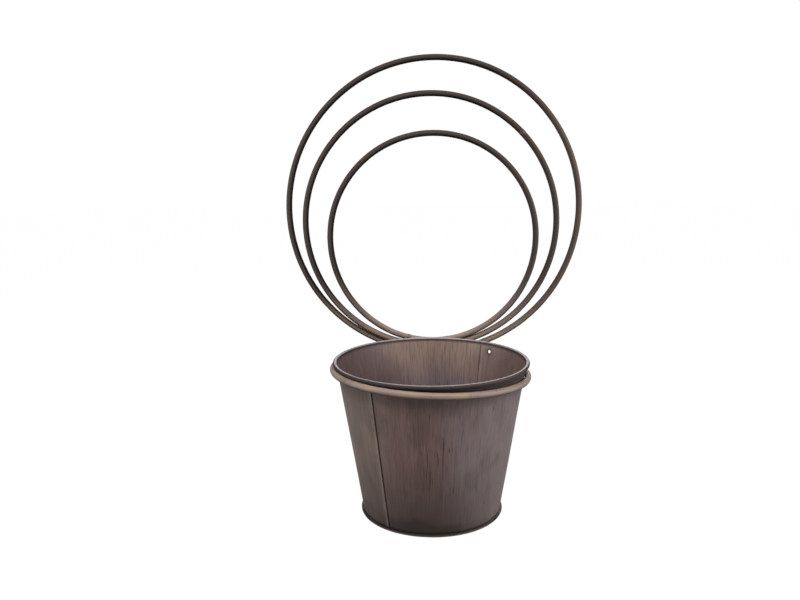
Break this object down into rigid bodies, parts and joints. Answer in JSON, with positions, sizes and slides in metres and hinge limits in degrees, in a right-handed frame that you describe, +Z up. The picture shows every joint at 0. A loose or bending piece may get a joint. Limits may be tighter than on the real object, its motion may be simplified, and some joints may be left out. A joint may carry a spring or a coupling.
{
  "type": "florist bucket with hoop frame",
  "caption": "Tapered tin florist bucket with a rolled rim and lock seams, wedged in the holder ring of a welded round-rod frame whose graduated hoops stand behind it.",
  "frame": {"origin": "on the floor under the middle of the whole object's box", "axes": "+Z up, +Y from the bucket's front towards the hoops behind it, +X to the right seen from the front"},
  "size_m": [0.3408, 0.2278, 0.4809],
  "materials": {
    "bucket_paint": "aged brown paint brushed over tinplate, satin",
    "bare_wire": "plain drawn steel wire, hidden in the rim",
    "rod_paint": "aged dark brown paint on round steel rod, satin",
    "weld_paint": "aged dark brown paint over rough weld metal"
  },
  "bodies": {
    "hoop_frame": {"holder_ring": "rod_paint", "holder_ring_butt_weld": "weld_paint", "hoop_large": "rod_paint", "hoop_large_butt_weld": "weld_paint", "hoop_middle": "rod_paint", "hoop_middle_butt_weld": "weld_paint", "hoop_small": "rod_paint", "hoop_small_butt_weld": "weld_paint", "tack_small_middle": "weld_paint", "tack_middle_large": "weld_paint", "tack_ring_left": "weld_paint", "tack_ring_right": "weld_paint"},
    "bucket": {"wall_sheet_left": "bucket_paint", "wall_sheet_right": "bucket_paint", "lock_seam_front": "bucket_paint", "lock_seam_back": "bucket_paint", "rim_wire": "bare_wire", "base_pan": "bucket_paint"}
  },
  "joints": [
    {"name": "bucket_lift", "type": "slide", "parent": "hoop_frame", "child": "bucket", "axis": [0, 0, 1], "range_m": [0, 0.165]}
  ]
}
